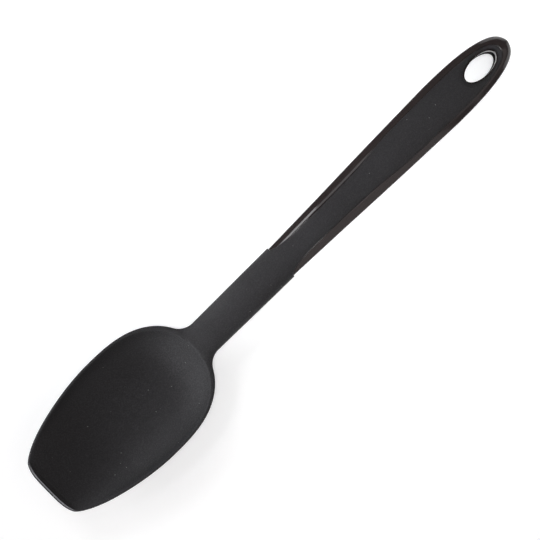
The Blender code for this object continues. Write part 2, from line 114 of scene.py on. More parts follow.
# Hang hole
HOLE_LENGTH = 18.8 * MM
HOLE_WIDTH = 9.3 * MM
HOLE_FROM_END = 17.9 * MM
HOLE_COLLAR = 0.6 * MM

# Form of the curves
ROUNDNESS = 2.3
BOWL_FULLNESS = 0.92
FLOOR_POWER = 2.6
FRONT_POWERS = (1.76, 0.77)
BACK_POWERS = (2.85, 0.5)
END_POWERS = (2.75, 0.417)
TIP_CROWN_POWER = 4

# Tip's edge. TIP_EDGE is the share of the bevel's height that its rounded edge takes up.
TIP_ROUNDING = 1.0 * MM
TIP_BEVEL = 1.65 * MM
TIP_EDGE = 0.3
TIP_EDGE_RADIUS = 0.8 * MM
TIP_EDGE_SOFTNESS = 0.1
TIP_SLOPE = 0.35
TIP_SLOPE_REACH = 3.1 * MM

# Softness of the bowl's rim, which grows from its least at the tip and along the outline
RIM_SOFTNESS = 0.9 * MM
LEAST_TIP_SOFTNESS = 0.15
SOFT_START = 6.0 * MM
LEAST_SIDE_SOFTNESS = 0.02
SOFT_SIDE_SHARE = 0.025

# Polished skin, in a band inward from the tip's edge and along the rim's front part
SHINE_START = 0.5 * MM
SHINE_REACH = 1.0 * MM
SHINE_WIDTH = 0.35 * MM
SHINE_LENGTH = 60.0 * MM

# Other edges and joints of the fine surfaces
GROOVE = 0.06 * MM
SLEEVE_GAP = 0.05 * MM
SLEEVE_ROUNDING = 0.4 * MM
SLEEVE_BESIDE_FACE = 0.3
FACE_ROUNDING = 0.3 * MM
FACE_EDGE_START = 2.0 * MM
SHELL_ROUNDING = 0.1 * MM
FLANK_START = 0.82
FLANK_ROUNDING = 0.3 * MM
LIP_ROUNDING = 0.8 * MM
LIP_DIP = 0.45 * MM
LIP_REACH = 3.2 * MM
COLLAR_ROUNDING = 0.25 * MM
COLLAR_DEPTH = 1.1 * MM
EXIT_ROUNDING = 0.5 * MM
# Place of the near-black sheet that paints shade on the hang hole's lower wall
HOLE_SHADE_TOP = 4.2 * MM
HOLE_SHADE_PROUD = 0.05 * MM
HOLE_SHADE_BACK = 0.2 * MM

# Fineness
PITCH = 0.65 * MM
TIP_RINGS = 24
TIP_FINE_LENGTH = 3.0 * MM
SLEEVE_END_RINGS = 6
FACE_START_RINGS = 12
COLUMNS = 60
EDGE_COLUMNS = 20
BAND_COLUMNS = 24
END_STEPS = 90
RING_STEPS = 28
FACE_WALL_STEPS = 3
FACE_HOLE_STEPS = 4
COLLAR_STEPS = 5
HOLE_WALL_STEPS = 24
FULL_TURN_POINTS = 361
ROUND_MARGIN = 6.0 * MM
OUTLINE_SAMPLES = 3000
SIDE_POINTS = 300
HALVINGS = 40
CHUNK = 2000
WELD = 0.0004 * MM
SHARP_ANGLE = math.radians(50)

# Places that follow from the sizes
FLAT_END = FLAT_START + FLAT_LENGTH
BACK_RIM_AT = BOWL_LENGTH - BACK_RIM_MARGIN
HOLLOW_END = BOWL_LENGTH - HOLLOW_BACK_MARGIN
NECK_START = BOWL_LENGTH + NECK_BLEND
NECK_LEVEL_START = BOWL_LENGTH + NECK_LEVEL_AT
SLEEVE_END = BOWL_LENGTH + NECK_LENGTH
LENGTH = SLEEVE_END + HANDLE_LENGTH
FACE_END = LENGTH - FACE_END_MARGIN
HOLE_AT = LENGTH - HOLE_FROM_END
ROUND_START = HOLE_AT - HOLE_LENGTH / 2 - ROUND_MARGIN
SHELL_START = SLEEVE_END + SLEEVE_GAP
FACE_SHARE = FACE_START_WIDTH / SLEEVE_WIDTH


# Curves


def smooth_line(*stations):
    """A function that runs smoothly through (place, value) stations and never overshoots them."""
    places = np.array([place for place, _ in stations])
    values = np.array([value for _, value in stations])
    steps = np.diff(places)
    rises = np.diff(values) / steps
    slopes = np.concatenate([rises[:1], np.zeros(len(rises) - 1), rises[-1:]])
    for i in range(1, len(rises)):
        if rises[i - 1] * rises[i] > 0:
            ahead = 2 * steps[i] + steps[i - 1]
            behind = steps[i] + 2 * steps[i - 1]
            slopes[i] = (ahead + behind) / (ahead / rises[i - 1] + behind / rises[i])

    def value_at(place):
        place = np.asarray(place, float)
        i = np.clip(np.searchsorted(places, place) - 1, 0, len(rises) - 1)
        share = np.clip((place - places[i]) / steps[i], 0, 1)
        bend = share * (1 - share) * (slopes[i] * (1 - share) - slopes[i + 1] * share)
        rise = values[i + 1] - values[i]
        return values[i] + rise * share**2 * (3 - 2 * share) + steps[i] * bend

    return value_at


def past_sleeve(station):
    """A handle station with its place measured from the bowl's tip."""
    place, value = station
    return SLEEVE_END + place, value


def halved(station):
    """A handle station of a width, with its place measured from the bowl's tip, and half of it."""
    place, width = past_sleeve(station)
    return place, width / 2


def eased(share):
    share = np.clip(share, 0, 1)
    return share * share * (3 - 2 * share)


def dome(share):
    """Height of a superellipse's quarter, from 1 at its middle to 0 at its edge."""
    return np.maximum(1 - np.abs(share) ** ROUNDNESS, 0) ** (1 / ROUNDNESS)


def dish(share, fullness):
    """Height of a bowl's section, 0 in its middle and 1 at its edge. Fullness 1 ends upright."""
    return (1 - dome(fullness * share)) / (1 - dome(fullness))


def roll(distance, radius):
    """How far a rounded edge has dropped at a distance inward from it."""
    inward = np.clip(1 - distance / np.maximum(radius, WELD), 0, 1)
    return radius * (1 - np.sqrt(1 - inward**2))


def soft_min(a, b, softness):
    """The lower of two heights, rounded off where they cross."""
    near = np.clip(1 - np.abs(a - b) / softness, 0, 1)
    return np.minimum(a, b) - near**2 * softness / 4


# Plan outlines


def quarter(share, powers):
    """A rounded fall from 1 to 0 as the share goes from 0 to 1."""
    inner, outer = powers
    return np.maximum(1 - np.clip(share, 0, 1) ** inner, 0) ** outer


def bowl_outline(place, front_inset=0.0, side_inset=0.0, back_inset=0.0):
    """Half the bowl's width, moved inward by the insets, and without the neck."""
    place = np.asarray(place, float)
    half_width = BOWL_WIDTH / 2 - side_inset
    half_tip = TIP_WIDTH / 2 - side_inset
    ahead = (BOWL_WIDEST_AT - place) / (BOWL_WIDEST_AT - front_inset)
    behind = (place - BOWL_WIDEST_AT) / (BOWL_LENGTH - back_inset - BOWL_WIDEST_AT)
    front = half_tip + (half_width - half_tip) * quarter(ahead, FRONT_POWERS)
    return np.where(place < BOWL_WIDEST_AT, front, half_width * quarter(behind, BACK_POWERS))


def shoulder_arc():
    """(centre, tangent place) of the arc that rounds the corner between the bowl and the neck."""
    places = np.linspace(BOWL_WIDEST_AT, BOWL_LENGTH, OUTLINE_SAMPLES)
    widths = bowl_outline(places)
    height = NECK_WIDTH / 2 + SHOULDER_RADIUS
    near = BOWL_WIDEST_AT
    far = BOWL_LENGTH + SHOULDER_RADIUS
    for _ in range(HALVINGS):
        centre = (near + far) / 2
        gaps = np.hypot(places - centre, widths - height)
        if gaps.min() < SHOULDER_RADIUS:
            near = centre
        else:
            far = centre
    return far, float(places[gaps.argmin()])


SHOULDER_CENTRE, SHOULDER_TANGENT = shoulder_arc()
neck_half = smooth_line((SHOULDER_CENTRE, NECK_WIDTH / 2), (SLEEVE_END, SLEEVE_WIDTH / 2))
handle_side = smooth_line(
    (SLEEVE_END, SLEEVE_WIDTH / 2 - SLEEVE_STEP),
    halved(HANDLE_WAIST),
    halved(HANDLE_MIDDLE),
    halved(HANDLE_WIDEST),
)
face_side = smooth_line(
    (SLEEVE_END, FACE_START_WIDTH / 2),
    halved(FACE_SWEEP),
    halved(FACE_WAIST),
    halved(FACE_MIDDLE),
    halved(FACE_FULL),
    halved(FACE_WIDEST),
)


def head_half(place):
    """Half the width of the bowl and neck."""
    place = np.asarray(place, float)
    across = np.clip(SHOULDER_CENTRE - place, 0, SHOULDER_RADIUS)
    arc = NECK_WIDTH / 2 + SHOULDER_RADIUS - np.sqrt(SHOULDER_RADIUS**2 - across**2)
    back = np.where(place < SHOULDER_CENTRE, arc, neck_half(place))
    return np.where(place <= SHOULDER_TANGENT, bowl_outline(place), back)


def handle_half(place):
    start = SLEEVE_END + HANDLE_WIDEST[0]
    return handle_side(place) * quarter((place - start) / (LENGTH - start), END_POWERS)


def face_half(place):
    start = SLEEVE_END + FACE_WIDEST[0]
    return face_side(place) * quarter((place - start) / (FACE_END - start), END_POWERS)


# Side view


underside = smooth_line(
    (0.0, TIP_HEIGHT - TIP_THICKNESS),
    (FLAT_START, -FLAT_CUT),
    (FLAT_END, -FLAT_CUT),
    (NECK_START, NECK_HEIGHT - NECK_THICKNESS),
    (NECK_LEVEL_START, NECK_LEVEL_HEIGHT - NECK_LEVEL_THICKNESS),
    (SLEEVE_END, SLEEVE_HEIGHT - SLEEVE_THICKNESS),
)
crown = smooth_line(
    (0.0, TIP_HEIGHT),
    (BOWL_WIDEST_AT, RIM_HEIGHT),
    (BACK_RIM_AT, BACK_RIM_HEIGHT),
    (NECK_START, NECK_HEIGHT),
    (NECK_LEVEL_START, NECK_LEVEL_HEIGHT),
    (SLEEVE_END, SLEEVE_HEIGHT),
)
side_line = smooth_line(
    (0.0, TIP_HEIGHT - TIP_THICKNESS / 2),
    (BOWL_WIDEST_AT, RIM_HEIGHT - LIP_HEIGHT),
    (BACK_RIM_AT, BACK_RIM_HEIGHT - LIP_HEIGHT),
    (NECK_START, NECK_HEIGHT - NECK_THICKNESS / 2),
    (NECK_LEVEL_START, NECK_LEVEL_HEIGHT - NECK_LEVEL_THICKNESS / 2),
    (SLEEVE_END, SLEEVE_HEIGHT - SLEEVE_THICKNESS / 2),
)
fullness = smooth_line(
    (0.0, BOWL_FULLNESS), (BACK_RIM_AT, BOWL_FULLNESS), (NECK_START, 1.0), (SLEEVE_END, 1.0)
)
handle_line = smooth_line(
    (SLEEVE_END, SLEEVE_HEIGHT - SLEEVE_THICKNESS / 2),
    past_sleeve(HANDLE_CREST),
    past_sleeve(HANDLE_SLOPE_START),
    past_sleeve(HANDLE_SLOPE_END),
    (LENGTH - REST_FROM_END, END_THICKNESS / 2 - FLAT_CUT),
    (LENGTH, END_HEIGHT),
)
handle_depth = smooth_line(
    (SLEEVE_END, SLEEVE_THICKNESS - 2 * SLEEVE_STEP),
    (SLEEVE_END + HANDLE_WIDEST[0], HANDLE_THICKNESS),
    (LENGTH, END_THICKNESS),
)
floor_wall = smooth_line(
    (0.0, TIP_WALL), (FLAT_START, WALL + FLAT_CUT), (FLAT_END, WALL + FLAT_CUT)
)


# Heights of the head's surfaces


def tip_round(place):
    """The lower surface closes to the side line in a rounded edge along the tip."""
    return np.sqrt(1 - np.clip(1 - place / TIP_ROUNDING, 0, 1) ** 2)


def tip_bevel(place):
    """The upper surface climbs from the tip's rounded edge on a straight bevel."""
    inward = np.clip(1 - place / TIP_EDGE_RADIUS, 0, 1)
    climb = np.maximum(place - TIP_EDGE_RADIUS, 0) / (TIP_BEVEL - TIP_EDGE_RADIUS)
    rise = TIP_EDGE * np.sqrt(1 - inward**2) + (1 - TIP_EDGE) * climb
    return soft_min(rise, 1.0, TIP_EDGE_SOFTNESS)


def solid_top(place, across):
    """The head's upper surface, before the bowl is hollowed."""
    side = side_line(place)
    return side + (crown(place) - side) * dome(across / head_half(place)) * tip_bevel(place)


def hollow_half(place):
    return np.maximum(bowl_outline(place, RIM_WIDTH, RIM_WIDTH, HOLLOW_BACK_MARGIN), WELD)


def hollow_floor(place):
    share = np.maximum(place - FLAT_END, 0) / (HOLLOW_END - FLAT_END)
    back = WALL + (crown(HOLLOW_END) - WALL) * share**FLOOR_POWER
    return np.where(place < FLAT_END, underside(place) + floor_wall(place), back)


def hollow_surface(place, across):
    """The bowl's inside, which slopes down from the tip. Past its own rim it runs on upward."""
    low = hollow_floor(place)
    half = hollow_half(place)
    side = side_line(place)
    rim = side + (crown(place) - side) * dome(half / np.maximum(head_half(place), half))
    share = np.minimum(np.abs(across) / half, 1 / BOWL_FULLNESS)
    ahead = TIP_SLOPE * np.maximum(TIP_SLOPE_REACH - place, 0)
    return low + np.maximum(rim - low, 0) * dish(share, BOWL_FULLNESS) + ahead


def head_top(place, across):
    """The head's upper surface. The rim is rounded off, but less near the outline and the tip."""
    inward = 1 - np.abs(across) / head_half(place)
    from_side = np.clip(inward / SOFT_SIDE_SHARE, LEAST_SIDE_SOFTNESS, 1)
    from_tip = np.clip(place / SOFT_START, LEAST_TIP_SOFTNESS, 1)
    softness = RIM_SOFTNESS * from_side * from_tip
    return soft_min(solid_top(place, across), hollow_surface(place, across), softness)


def head_bottom(place, across):
    side = side_line(place)
    low = underside(place)
    share = np.minimum(np.abs(across) / head_half(place), 1)
    depth = (side - low) * (1 - dish(share, fullness(place))) * tip_round(place)
    return np.maximum(side - depth, 0)


# Heights of the handle's surfaces


def handle_half_depth(place):
    start = LENGTH - END_ROUNDING
    return handle_depth(place) / 2 * quarter((place - start) / END_ROUNDING, END_POWERS)


def handle_dome(place, across):
    return handle_half_depth(place) * dome(across / np.maximum(handle_half(place), WELD))


def shell_top(place, across):
    return handle_line(place) + handle_dome(place, across)


def straightened(share, powers):
    """The quarter curve, which runs straight on from FLANK_START."""
    share = np.clip(share, 0, 1)
    curved = np.minimum(share, FLANK_START)
    power, root = powers
    rest = 1 - FLANK_START**power
    slope = power * root * FLANK_START ** (power - 1) * rest ** (root - 1)
    return quarter(curved, powers) - slope * (share - curved)


def flank_top(place, across):
    """The shell's upper surface beside the face, which ends in a steep edge all round."""
    side = np.abs(across) / np.maximum(handle_half(place), WELD)
    end = (place - (LENGTH - END_ROUNDING)) / END_ROUNDING
    form = straightened(side, (ROUNDNESS, 1 / ROUNDNESS)) * straightened(end, END_POWERS)
    return handle_line(place) + handle_depth(place) / 2 * form


def shell_bottom(place, across):
    return np.maximum(handle_line(place) - handle_dome(place, across), 0)


def face_top(place, across):
    """The face carries on the sleeve's form and goes over to the handle's own."""
    sleeve = handle_line(place) + SLEEVE_THICKNESS / 2 * dome(across / (SLEEVE_WIDTH / 2))
    own = shell_top(place, across) + FACE_PROUD
    leaving = eased((place - SLEEVE_END) / FACE_BLEND)
    return sleeve + (own - sleeve) * leaving


def face_floor(place, across):
    return shell_top(place, across) - FACE_THICKNESS


def pocket_floor(place, across):
    return face_floor(place, across) - GROOVE


# Hang hole


HOLE_RISE = float(shell_top(HOLE_AT + HOLE_LENGTH / 2, 0) - shell_top(HOLE_AT - HOLE_LENGTH / 2, 0))
HOLE_SLOPE = HOLE_RISE / HOLE_LENGTH
HOLE_TOP = float(shell_top(HOLE_AT, 0))


def hole_loop(angles, growth, height):
    """Points of the upright oval hole's wall. Height is a surface, or a level over the crown."""
    along = (HOLE_LENGTH / 2 + growth) * np.cos(angles)
    across = (HOLE_WIDTH / 2 + growth) * np.sin(angles)
    place = HOLE_AT + along
    if callable(height):
        z = height(place, across)
    else:
        z = HOLE_TOP + HOLE_SLOPE * along + height
    return np.stack([place, across, z], -1)


# Meshes from grids of points


class Surface:
    """Grids of (place, across, height) points that are welded to one mesh.

    A flat wall is left out as an open rim, which build closes.
    """

    def __init__(self):
        self.points = []
        self.faces = []
        self.count = 0

    def add(self, grid):
        rows, columns = grid.shape[:2]
        index = self.count + np.arange(rows * columns).reshape(rows, columns)
        corners = [index[:-1, :-1], index[:-1, 1:], index[1:, 1:], index[1:, :-1]]
        self.faces.append(np.stack([corner.ravel() for corner in corners], -1))
        self.points.append(grid.reshape(-1, 3))
        self.count += rows * columns

    def ladder(self, upper, lower, steps):
        """A wall between two lines of points."""
        shares = np.linspace(0, 1, steps + 1)[:, None, None]
        self.add(upper[None] + (lower - upper)[None] * shares)

    def build(self, name, material):
        points = np.concatenate(self.points)
        points[:, 0] -= LENGTH / 2
        mesh = bpy.data.meshes.new(name)
        mesh.from_pydata(points.tolist(), [], np.concatenate(self.faces).tolist())
        bm = bmesh.new()
        bm.from_mesh(mesh)
        bmesh.ops.remove_doubles(bm, verts=bm.verts, dist=WELD)
        rim = [edge for edge in bm.edges if edge.is_boundary]
        walls = bmesh.ops.holes_fill(bm, edges=rim)["faces"]
        bmesh.ops.triangulate(bm, faces=walls, ngon_method="EAR_CLIP")
        bmesh.ops.recalc_face_normals(bm, faces=bm.faces)
        bm.to_mesh(mesh)
        bm.free()
        mesh.shade_smooth()
        mesh.set_sharp_from_angle(angle=SHARP_ANGLE)
        mesh.materials.append(material)
        obj = bpy.data.objects.new(name, mesh)
        bpy.context.scene.collection.objects.link(obj)
        return obj


def stacked(place, across, height):
    place, across, height = np.broadcast_arrays(place, across, height)
    return np.stack([place, across, height], -1).astype(float)


def even_places(width_at, start, end):
    """Places from start to end, evenly spaced along the outline that width_at draws."""
    places = np.linspace(start, end, OUTLINE_SAMPLES)
    widths = width_at(places)
    travel = np.concatenate([[0], np.cumsum(np.hypot(np.diff(places), np.diff(widths)))])
    count = max(round(travel[-1] / PITCH), 2)
    return np.interp(np.linspace(0, travel[-1], count + 1), travel, places)


def round_end(half_at, end):
    """Points of an outline from ROUND_START to the tip of its round end, evenly spaced."""
    turn = np.sin(np.linspace(0, math.pi / 2, OUTLINE_SAMPLES))
    places = ROUND_START + (end - ROUND_START) * turn
    widths = half_at(places)
    widths[-1] = 0
    travel = np.concatenate([[0], np.cumsum(np.hypot(np.diff(places), np.diff(widths)))])
    even = np.linspace(0, travel[-1], END_STEPS + 1)
    return np.stack([np.interp(even, travel, places), np.interp(even, travel, widths)], -1)


def moved_out(outline, distance):
    """An outline's points moved outward, square to it. Both its ends stay on their own lines."""
    along = np.gradient(outline, axis=0)
    along[0] = (1, 0)
    along[-1] = (0, -1)
    along /= np.linalg.norm(along, axis=1)[:, None]
    return outline + distance * np.stack([-along[:, 1], along[:, 0]], -1)


def u_turn(outline):
    """An outline's round end from its +Y side over the tip to its -Y side."""
    back = outline[-2::-1] * np.array([1, -1])
    return np.concatenate([outline, back])


def closed_end(outline):
    """An outline's round end as a loop: the line across it from -Y to +Y, then round its tip."""
    line = np.stack([np.full(COLUMNS + 1, ROUND_START), CENTRE_COLUMNS * outline[0, 1]], -1)
    return np.concatenate([line, u_turn(outline)[1:]])


def end_ring(outline, growth, height):
    """Plan places and distances across of a grid from an outline's round end in to the hang hole.

    Its last row lies on the hole's wall, where it meets the surface that height gives.
    """
    outer = closed_end(outline)
    inner = hole_loop(HOLE_ANGLES, growth, height)[:, :2]
    shares = (1 - np.cos(np.linspace(0, math.pi, RING_STEPS + 1))) / 2
    grid = outer[None] + (inner - outer)[None] * shares[:, None, None]
    return grid[..., 0], grid[..., 1]


def distance_to(line, place, across):
    """Distance in plan from each point to a line through points."""
    flat = np.stack([place.ravel(), across.ravel()], -1)
    starts = line[:-1]
    steps = np.diff(line, axis=0)
    squares = np.maximum((steps**2).sum(-1), WELD**2)
    nearest = np.empty(len(flat))
    for first in range(0, len(flat), CHUNK):
        offset = flat[first:first + CHUNK, None] - starts[None]
        share = np.clip((offset * steps).sum(-1) / squares, 0, 1)
        gap = offset - share[..., None] * steps
        nearest[first:first + CHUNK] = np.sqrt((gap**2).sum(-1).min(-1))
    return nearest.reshape(place.shape)


def side_outline(half_at, end_outline):
    """A whole outline's +Y side as a line through points, from the sleeve to its tip."""
    places = np.linspace(SLEEVE_END, ROUND_START, SIDE_POINTS)
    side = np.stack([places, half_at(places)], -1)
    return np.concatenate([side[:-1], end_outline])


CENTRE_COLUMNS = np.sin(np.linspace(-math.pi / 2, math.pi / 2, COLUMNS + 1))
FACE_OUTLINE = round_end(face_half, FACE_END)
POCKET_OUTLINE = moved_out(FACE_OUTLINE, GROOVE)
HANDLE_OUTLINE = round_end(handle_half, LENGTH)
HANDLE_PLACES = even_places(handle_half, SHELL_START, ROUND_START)
HOLE_RAYS = closed_end(HANDLE_OUTLINE) - np.array([HOLE_AT, 0.0])
HOLE_ANGLES = np.arctan2(HOLE_RAYS[:, 1] / HOLE_WIDTH, HOLE_RAYS[:, 0] / HOLE_LENGTH)
FULL_TURN = np.linspace(0, 2 * math.pi, FULL_TURN_POINTS)


# Silicone skin


def edge_columns():
    """Shares of the half width from the face's edge to the outline, closest at the outline."""
    return 1 - (1 - FACE_SHARE) * (1 - np.linspace(0, 1, EDGE_COLUMNS + 1)) ** 2


def add_head(skin):
    """The bowl, neck and sleeve. The sleeve's end is rounded, but not where the face goes on."""
    tip = TIP_FINE_LENGTH * (1 - np.cos(np.linspace(0, math.pi / 2, TIP_RINGS + 1)))
    body = even_places(head_half, TIP_FINE_LENGTH, SLEEVE_END - SLEEVE_ROUNDING)
    turn = np.sin(np.linspace(0, math.pi / 2, SLEEVE_END_RINGS + 1))[1:]
    places = np.concatenate([tip[:-1], body, SLEEVE_END - SLEEVE_ROUNDING * (1 - turn)])[:, None]
    outer = edge_columns()
    columns = np.concatenate([-outer[:0:-1], FACE_SHARE * CENTRE_COLUMNS, outer[1:]])[None]
    half = head_half(places)
    fade = np.maximum(1 - places / TIP_CROWN_LENGTH, 0)
    along = places + TIP_CROWN * fade**2 * columns**TIP_CROWN_POWER
    across = columns * half
    drop = roll(SLEEVE_END - places, SLEEVE_ROUNDING)
    beside = eased((np.abs(columns) - FACE_SHARE) / (SLEEVE_BESIDE_FACE * (1 - FACE_SHARE)))
    middle = side_line(places)
    for height_at, rounded in ((head_top, beside), (head_bottom, 1.0)):
        height = height_at(places, across) - middle
        height = middle + height * (1 - drop * rounded / (SLEEVE_THICKNESS / 2))
        skin.add(stacked(along, across * (1 - drop * rounded / half), height))


def face_height(place, across):
    """The face's surface with its rounded edge, and dipped round the hang hole."""
    outline = side_outline(face_half, FACE_OUTLINE)
    radius = FACE_ROUNDING * eased((place - SLEEVE_END) / FACE_EDGE_START)
    edge = roll(distance_to(outline, place, np.abs(across)), radius)
    rim = hole_loop(FULL_TURN, HOLE_COLLAR + GROOVE, face_top)[:, :2]
    from_hole = distance_to(rim, place, across)
    dip = LIP_DIP * (1 - eased(from_hole / LIP_REACH)) ** 2
    return face_top(place, across) - edge - roll(from_hole, LIP_ROUNDING) - dip


def add_face(skin):
    """The face on top of the handle, with its walls and its hole."""
    turn = np.cos(np.linspace(0, math.pi / 2, FACE_START_RINGS + 1))
    first = SLEEVE_END + FACE_EDGE_START * (1 - turn)
    places = np.concatenate([first[:-1], even_places(face_half, first[-1], ROUND_START)])[:, None]
    across = CENTRE_COLUMNS[None] * face_half(places)
    places = np.broadcast_to(places, across.shape)
    top = stacked(places, across, face_height(places, across))
    floor = stacked(places, across, face_floor(places, across))
    growth = HOLE_COLLAR + GROOVE
    at = end_ring(FACE_OUTLINE, growth, face_top)
    top_ring = stacked(*at, face_height(*at))
    at = end_ring(FACE_OUTLINE, growth, face_floor)
    floor_ring = stacked(*at, face_floor(*at))
    for grid in (top, floor, top_ring, floor_ring):
        skin.add(grid)
    for column in (0, -1):
        skin.ladder(top[:, column], floor[:, column], FACE_WALL_STEPS)
    skin.ladder(top_ring[0, COLUMNS:], floor_ring[0, COLUMNS:], FACE_WALL_STEPS)
    skin.ladder(top_ring[-1], floor_ring[-1], FACE_HOLE_STEPS)


def edge_shine(points):
    """How polished the skin is at points: along the tip's edge, and fading along the rim."""
    place = points[:, 0] + LENGTH / 2
    across = np.abs(points[:, 1])
    edge_at = TIP_CROWN * (across / (TIP_WIDTH / 2)) ** TIP_CROWN_POWER
    inward = place - edge_at
    tip = eased((inward - SHINE_START) / SHINE_WIDTH)
    tip *= 1 - eased((inward - SHINE_REACH) / SHINE_WIDTH)
    tip *= across < TIP_WIDTH / 2
    rim = 1 - eased((head_half(np.clip(place, 0, SLEEVE_END)) - across) / SHINE_WIDTH)
    return np.maximum(tip, rim * (1 - eased(place / SHINE_LENGTH)))


def add_skin(material):
    skin = Surface()
    add_head(skin)
    add_face(skin)
    surface = skin.build("silicone_skin_surface", material)
    mesh = surface.data
    points = np.empty(len(mesh.vertices) * 3, np.float32)
    mesh.vertices.foreach_get("co", points)
    shine = mesh.attributes.new("shine", "FLOAT", "POINT")
    shine.data.foreach_set("value", edge_shine(points.reshape(-1, 3)).astype(np.float32))
    return surface


# Handle shell


def add_band(shell):
    """The gloss band beside the face, from the pocket's rounded edge out to the outline."""
    straight = HANDLE_PLACES[:-1]
    inner_line = np.stack([straight, face_half(straight) + GROOVE], -1)
    outer_line = np.stack([straight, handle_half(straight)], -1)
    inner = u_turn(np.concatenate([inner_line, POCKET_OUTLINE]))
    outer = u_turn(np.concatenate([outer_line, HANDLE_OUTLINE]))
    shares = ((1 - np.cos(np.linspace(0, math.pi, BAND_COLUMNS + 1))) / 2)[None]
    place = inner[:, :1] + (outer[:, :1] - inner[:, :1]) * shares
    across = inner[:, 1:] + (outer[:, 1:] - inner[:, 1:]) * shares
    width = np.linalg.norm(outer - inner, axis=1)[:, None]
    height = flank_top(place, across) - roll(width * shares, SHELL_ROUNDING)
    height -= roll(width * (1 - shares), FLANK_ROUNDING)
    height = np.maximum(height, handle_line(place))
    height[:, -1] = handle_line(place[:, -1])
    band = stacked(place, across, height)
    shell.add(band)
    return band


def add_pocket(shell, band):
    """The pocket's wall and floor, open round the hole's collar."""
    places = HANDLE_PLACES[:, None]
    across = CENTRE_COLUMNS[None] * (face_half(places) + GROOVE)
    floor = stacked(places, across, pocket_floor(places, across))
    at = end_ring(POCKET_OUTLINE, HOLE_COLLAR, pocket_floor)
    floor_ring = stacked(*at, pocket_floor(*at))
    floor[-1] = floor_ring[0, :COLUMNS + 1]
    shell.add(floor)
    shell.add(floor_ring)
    foot = np.concatenate([floor[:-1, -1], floor_ring[0, COLUMNS:], floor[-2::-1, 0]])
    shell.ladder(band[:, 0], foot, FACE_WALL_STEPS)
    return floor_ring[-1]


def add_back(shell):
    """The handle's underside, with the rounded lower edge of its hang hole."""
    places = HANDLE_PLACES[:-1, None]
    across = CENTRE_COLUMNS[None] * handle_half(places)
    back = stacked(places, across, shell_bottom(places, across))
    at = end_ring(HANDLE_OUTLINE, 0.0, shell_bottom)
    rim = hole_loop(FULL_TURN, 0.0, shell_bottom)[:, :2]
    back_ring = stacked(*at, shell_bottom(*at) + roll(distance_to(rim, *at), EXIT_ROUNDING))
    back_ring[0, COLUMNS:, 2] = handle_line(back_ring[0, COLUMNS:, 0])
    back = np.concatenate([back, back_ring[:1, :COLUMNS + 1]])
    for column in (0, -1):
        back[:, column, 2] = handle_line(back[:, column, 0])
    back_ring[0, 0] = back[-1, 0]
    shell.add(back)
    shell.add(back_ring)
    return back_ring[-1]


def add_hole(shell, foot, exit_line):
    """The collar round the hang hole with its rounded top, and the hole's wall down to the exit."""
    turn = np.linspace(0, math.pi / 2, COLLAR_STEPS + 1)
    drops = COLLAR_DEPTH + COLLAR_ROUNDING * (1 - np.sin(turn))
    insets = COLLAR_ROUNDING * (1 - np.cos(turn))
    outside = [hole_loop(HOLE_ANGLES, HOLE_COLLAR - i, -d) for i, d in zip(insets, drops)]
    inside = [hole_loop(HOLE_ANGLES, i, -d) for i, d in zip(insets, drops)]
    shell.add(np.stack([foot] + outside + inside[::-1]))
    shell.ladder(inside[0], exit_line, HOLE_WALL_STEPS)


def add_shell(material):
    shell = Surface()
    band = add_band(shell)
    foot = add_pocket(shell, band)
    exit_line = add_back(shell)
    add_hole(shell, foot, exit_line)
    return shell.build("handle_shell_surface", material)


def add_painted_hole_shade(material):
    """A thin, near-black, dull sheet on the lower part of the hang hole's wall, which paints shade
    there.
    """
    top = hole_loop(FULL_TURN, 0.0, -HOLE_SHADE_TOP)
    high = top[:, 2]
    low = shell_bottom(top[:, 0], top[:, 1]) + EXIT_ROUNDING
    rings = []
    for growth, levels in ((-HOLE_SHADE_PROUD, (high, low)), (HOLE_SHADE_BACK, (low, high))):
        for level in levels:
            ring = hole_loop(FULL_TURN, growth, 0.0)
            ring[:, 2] = level
            rings.append(ring)
    shade_sheet = Surface()
    shade_sheet.add(np.stack(rings + rings[:1]))
    return shade_sheet.build("hang_hole_painted_shade", material)


# Materials


# Colours are linear. A noise is given by its scale, per metre, its detail and its roughness.
SILICONE_DARK = (0.0025, 0.0021, 0.0021)
SILICONE_PALE = (0.0035, 0.0031, 0.0031)
SILICONE_SPECKLE = (0.055, 0.055, 0.058)
SILICONE_TINT = (0.95, 0.935, 0.985)
SILICONE_CLOUD = (55.0, 3.0, 0.5)
SILICONE_GRAIN = (1700.0, 3.0, 0.6)
SILICONE_ROUGHNESS = (0.58, 0.82)
SPECKLE_FROM = (0.62, 0.74)
SPECKLE_STRENGTH = 0.5
SHINE_ROUGHNESS = 0.25
GRAIN_DEPTH = 0.14 * MM
GRAIN_STRENGTH = 0.8
SHINE_GRAIN_STRENGTH = 0.05

DUST_COLOUR = (0.22, 0.22, 0.21)
DUST_SCALE = 260.0
DUST_RADII = (0.03, 0.05)
DUST_STRENGTH = 0.8

GLOSS_DARK = (0.0155, 0.0112, 0.0110)
GLOSS_PALE = (0.0180, 0.0131, 0.0129)
GLOSS_CLOUD = (40.0, 2.0, 0.5)
GLOSS_SCUFFS = (700.0, 4.0, 0.65)
GLOSS_ROUGHNESS = (0.07, 0.16)
SCUFFS_FROM = (0.45, 0.8)
GLOSS_WAVE = (90.0, 1.0, 0.5)
WAVE_DEPTH = 0.1 * MM
WAVE_STRENGTH = 0.12

# Painted shade: the near-black dull sheet on the hang hole's lower wall
HOLE_SHADE_DARK = (0.003, 0.003, 0.003)
HOLE_SHADE_PALE = (0.006, 0.005, 0.005)
HOLE_SHADE_CLOUD = (300.0, 2.0, 0.5)
HOLE_SHADE_ROUGHNESS = 0.9
HOLE_SHADE_SPECULAR = 0.05

